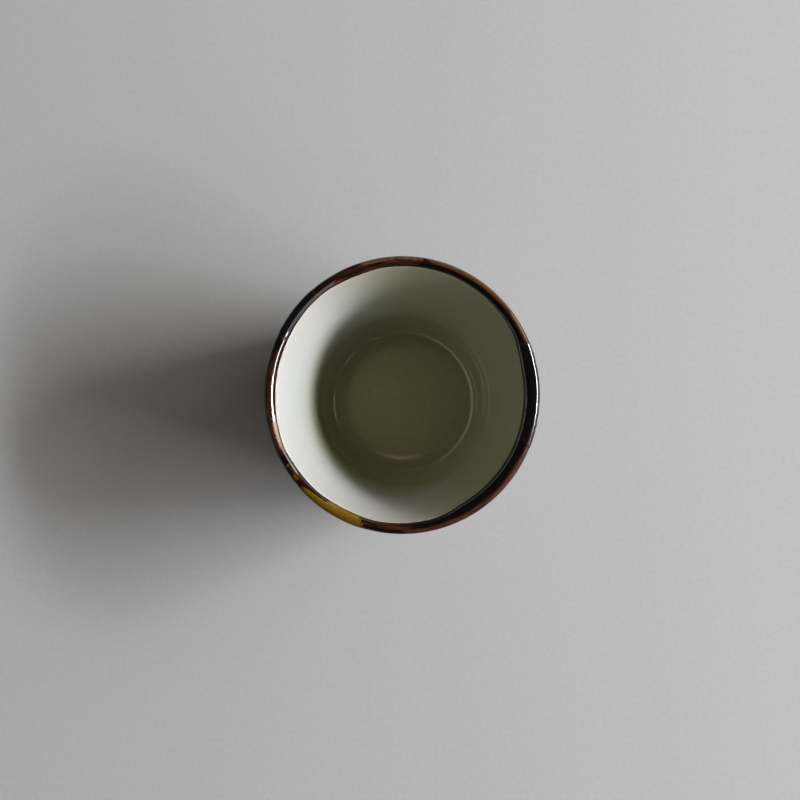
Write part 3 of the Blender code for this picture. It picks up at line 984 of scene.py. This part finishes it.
def pour(name, middle, half_width, drop, top_edge, material, node):
    """A tongue of glaze from inside the lip down the outside. Middle in degrees, sizes in metres."""
    across = np.sin(np.linspace(-1, 1, COLUMNS) * np.pi / 2)[:, None]
    tongue = (1 - np.abs(across) ** TONGUE_POWER) ** (1 / TONGUE_POWER)
    angle = np.radians(middle) + across * half_width / RIM_RADIUS
    top = top_edge(angle)
    bottom = LIP_TOP + POUR_START + drop * tongue * (1 + 0.06 * wander(1.3 * angle, 0, seed=4))
    face = top + eased(ROWS) * (bottom - top)
    side = (1 - np.abs(across)) * half_width / MM
    past_top, from_top, to_end = (face - LIP_TOP) / MM, (face - top) / MM, (bottom - face) / MM
    # The sides sway, faster over the lip than down the wall.
    pace = 6 * np.tanh(past_top / 4) + 0.1 * past_top
    angle = angle + np.abs(across) ** 3 * SIDE_SWAY * wander(2 * angle, pace, seed=3)
    thick = (POUR_THICKNESS + POUR_TUCK) * pillow(angle, past_top, side, from_top, to_end, tongue)
    lift = amber_lift(angle, face) - POUR_TUCK + thick
    satin = zone(angle, -40, -12, 8) * smooth(past_top, -0.1, 0.4) * (1 - smooth(past_top, 2, 6))
    cover = smooth(side, 0, 2.5) * smooth(to_end, 0, 2.5) * (1 - 0.8 * satin)
    lift = np.hstack((lift, np.full_like(lift, SUNK)))
    out_and_home = (np.hstack((kept, kept[:, ::-1])) for kept in (angle, face, cover, satin))
    angle, length, cover, satin = out_and_home
    count, rows = length.shape
    faces = grid_quads(count, rows, False, True).tolist()
    faces += [list(range(rows)), list(range((count - 1) * rows, count * rows))]
    points = on_cup(angle, length, lift).reshape(-1, 3)
    make_piece(name, points, faces, material, node, {"cover": cover, "satin": satin})


print(f"a pour is a grid of {COLUMNS} by {2 * ROWS} points")

# %% Make the three pours
POUR_TOP = 0.3 * MM
YELLOW_MIDDLE = 238
# angles in degrees, and where the yellow starts there in millimetres past the lip's top
YELLOW_ANGLES = [220, 228, 235]
YELLOW_STARTS = [0.3, -0.2, -0.3]
YELLOW_SWAY = 0.1 * MM


def black_top(angle):
    """The black starts at the amber's inner edge."""
    return inner_edge(angle) + POUR_TOP


def yellow_top(angle):
    """The yellow starts there too on one side, and on the top of the lip on the other."""
    on_lip = LIP_TOP + np.interp(np.degrees(angle), YELLOW_ANGLES, YELLOW_STARTS) * MM
    on_lip = on_lip + YELLOW_SWAY * wander(5 * angle, 0, seed=11)
    share = smooth(YELLOW_MIDDLE - np.degrees(angle), 0, 4)
    return (1 - share) * black_top(angle) + share * on_lip


pour(
    "black_pour_wide_run", 0, 15.5 * MM, 41 * MM, black_top,
    black_glaze, "black_pour_wide",
)
pour(
    "black_pour_narrow_run", 142, 8.8 * MM, 30 * MM, black_top,
    black_glaze, "black_pour_narrow",
)
pour(
    "yellow_splash_run", YELLOW_MIDDLE, 10.5 * MM, 20 * MM, yellow_top,
    yellow_glaze, "yellow_splash",
)

# %% [markdown]
# ## Stoneware
# Only the foot shows the clay itself, toasted orange by the kiln next to the glaze. Its sand could be
# scattered as tiny stones, but at this size a noise that colours the face and bumps it looks the same.

# %% Stoneware material
# Bare stoneware is matt and sandy, with dark iron specks.
# Its grains are about 0.3 mm across. They are drawn coarser here, so that they show.
SAND = 0.7 * MM
SAND_STRENGTH = 0.5
SAND_DEPTH = 0.12 * MM
CLAY_CLOUD = 8 * MM

stoneware, tree, shader, place = new_material("bare_stoneware_trimmed", roughness=0.78, ior=1.5)
toast = add(tree, "ShaderNodeAttribute", None, "Fac", attribute_name="toast")
sand = add(tree, "ShaderNodeTexNoise", {"Vector": place, "Scale": 1 / SAND, "Detail": 5})
cloud = add(tree, "ShaderNodeTexNoise", {"Vector": place, "Scale": 1 / CLAY_CLOUD, "Detail": 3})
iron = add(tree, "ShaderNodeMapRange", {"Value": sand, "From Min": 0.66, "From Max": 0.72})
colour = linear("#9c8468")
for share, over in [(cloud, "#b29a7c"), (toast, "#9a5f3a"), (iron, "#4a3526")]:
    layer = {"Factor": share, "A": colour, "B": linear(over)}
    colour = add(tree, "ShaderNodeMix", layer, "Result", data_type="RGBA")
tree.links.new(colour, shader.inputs["Base Color"])
grit = add(tree, "ShaderNodeBump", {"Height": sand, "Strength": SAND_STRENGTH, "Distance": SAND_DEPTH})
tree.links.new(grit, shader.inputs["Normal"])
print("stoneware:", len(tree.nodes), "nodes")

# %% [markdown]
# ## The clay body
# The clay lies under all the coats and shows at the foot, where a loop tool left fine rings on the
# turning cup. A bump could fake the rings, but as real relief they also break the foot's outline. The
# standing face stays flat, because the cup rests on it.

# %% Make the clay body
TRIM_PITCH = 1.3 * MM
TRIM_DEPTH = 0.035 * MM
TOAST = 0.8
TOAST_PLACE = 0.5 * MM
TOAST_WIDTH = 2.2 * MM
# rows under the coats, round the foot and across the recess
CLAY_ROWS = (60, 110, 40)

foot_from = START["shoulder"] - 6 * MM
length = np.concatenate((
    np.linspace(0, foot_from, CLAY_ROWS[0]),
    np.linspace(foot_from, START["recess"], CLAY_ROWS[1])[1:],
    np.linspace(START["recess"], walked[-1], CLAY_ROWS[2])[1:],
))[None, :]
trimmed = smooth(length, START["shoulder"] - 4 * MM, START["shoulder"] - 1 * MM)
trimmed = trimmed * (1 - smooth(length, START["foot_outer"] - 1 * MM, START["foot_outer"]))
lift = TRIM_DEPTH * trimmed * np.sin(2 * np.pi * length / TRIM_PITCH - TURN)
marks = {"toast": bump(length - lower_edge(TURN) - TOAST_PLACE, TOAST_WIDTH) * TOAST}
turned_coat("clay_body_turned", length, lift, stoneware, "clay_body", marks)

# %% [markdown]
# ## The glaze under the foot
# The recess inside the foot ring is glazed too, darker in its corner, where the glaze settled. A plain
# disc would show a gap at the corner, so this is a coat like the others. It wears the liner's glaze and
# carries three of the liner's marks. A mark that a mesh doesn't carry counts as zero.

# %% Make the glaze in the foot well
FOOT_WELL_ROWS = 80
FOOT_WELL_SWAY = 0.15 * MM
SETTLED = 0.6
SETTLED_PLACE = 2.0 * MM
SETTLED_WIDTH = 2.0 * MM

share = np.linspace(0, 1, FOOT_WELL_ROWS)[None, :]
face = START["recess"] + share * (walked[-1] - START["recess"])
from_edge = face - START["recess"] - FOOT_WELL_SWAY * wander(TURN, 0, seed=6)
lift = rolled_edge(from_edge)
settled = SETTLED * bump(from_edge - SETTLED_PLACE, SETTLED_WIDTH)
length = np.hstack((face[:, ::-1], face))
lift = np.hstack((np.full_like(lift, SUNK), lift))
marks = {"floor": 0.15, "pooled_and_shaded": np.hstack((settled[:, ::-1], settled)), "down": 0.4}
turned_coat("foot_well_glaze_coat", length, lift, ash_glaze, "foot_well_glaze", marks)

# %% [markdown]
# ## The size
# The dressed cup must fill the same space as the solid one, so both boxes are written down.

# %% Print both boxes
visual_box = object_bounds()
for name, box in (("solid", solid_box), ("visual", visual_box)):
    print(name, [[round(v / MM, 2) for v in corner] for corner in box])
